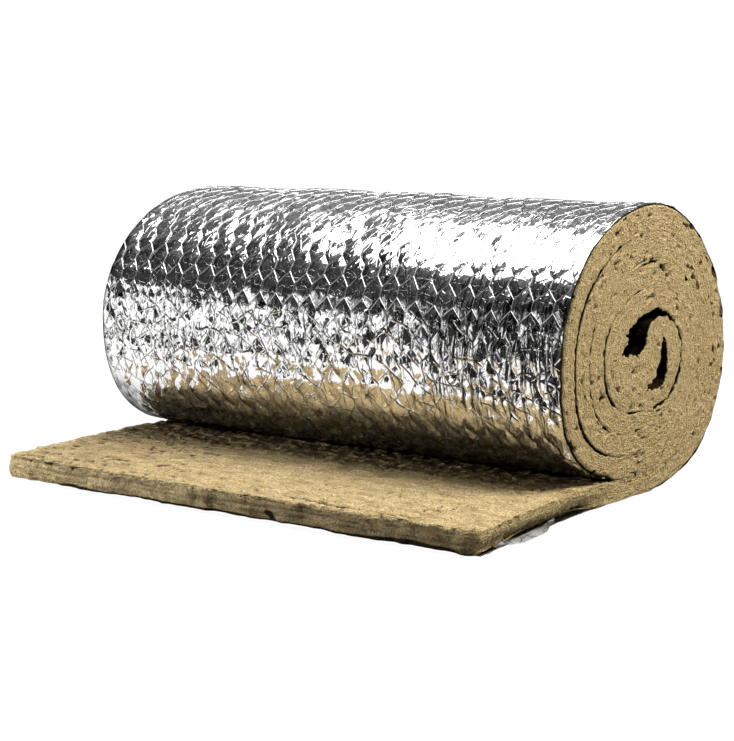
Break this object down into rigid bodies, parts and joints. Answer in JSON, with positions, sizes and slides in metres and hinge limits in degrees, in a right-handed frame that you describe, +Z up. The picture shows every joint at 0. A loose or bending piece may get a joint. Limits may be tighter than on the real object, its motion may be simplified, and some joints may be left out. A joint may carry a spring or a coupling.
{
  "type": "foil-faced mineral wool insulation roll",
  "caption": "Mineral wool insulation mat with a crumpled aluminium foil and wire netting facing, wound into a roll lying on its side with its free end pulled out flat in front.",
  "frame": {"origin": "bottom centre of the whole part, on the floor under it", "axes": "+X along the roll, +Y to the back of the roll and away from the free end, +Z up"},
  "size_m": [1, 0.767, 0.478],
  "materials": {
    "wool": "matt yellow-brown mineral fibre with small dark pits",
    "foil": "bright crumpled foil under hexagonal wire netting"
  },
  "bodies": {
    "root": {"wool_mat": "wool", "foil_facing": "foil"}
  },
  "joints": []
}
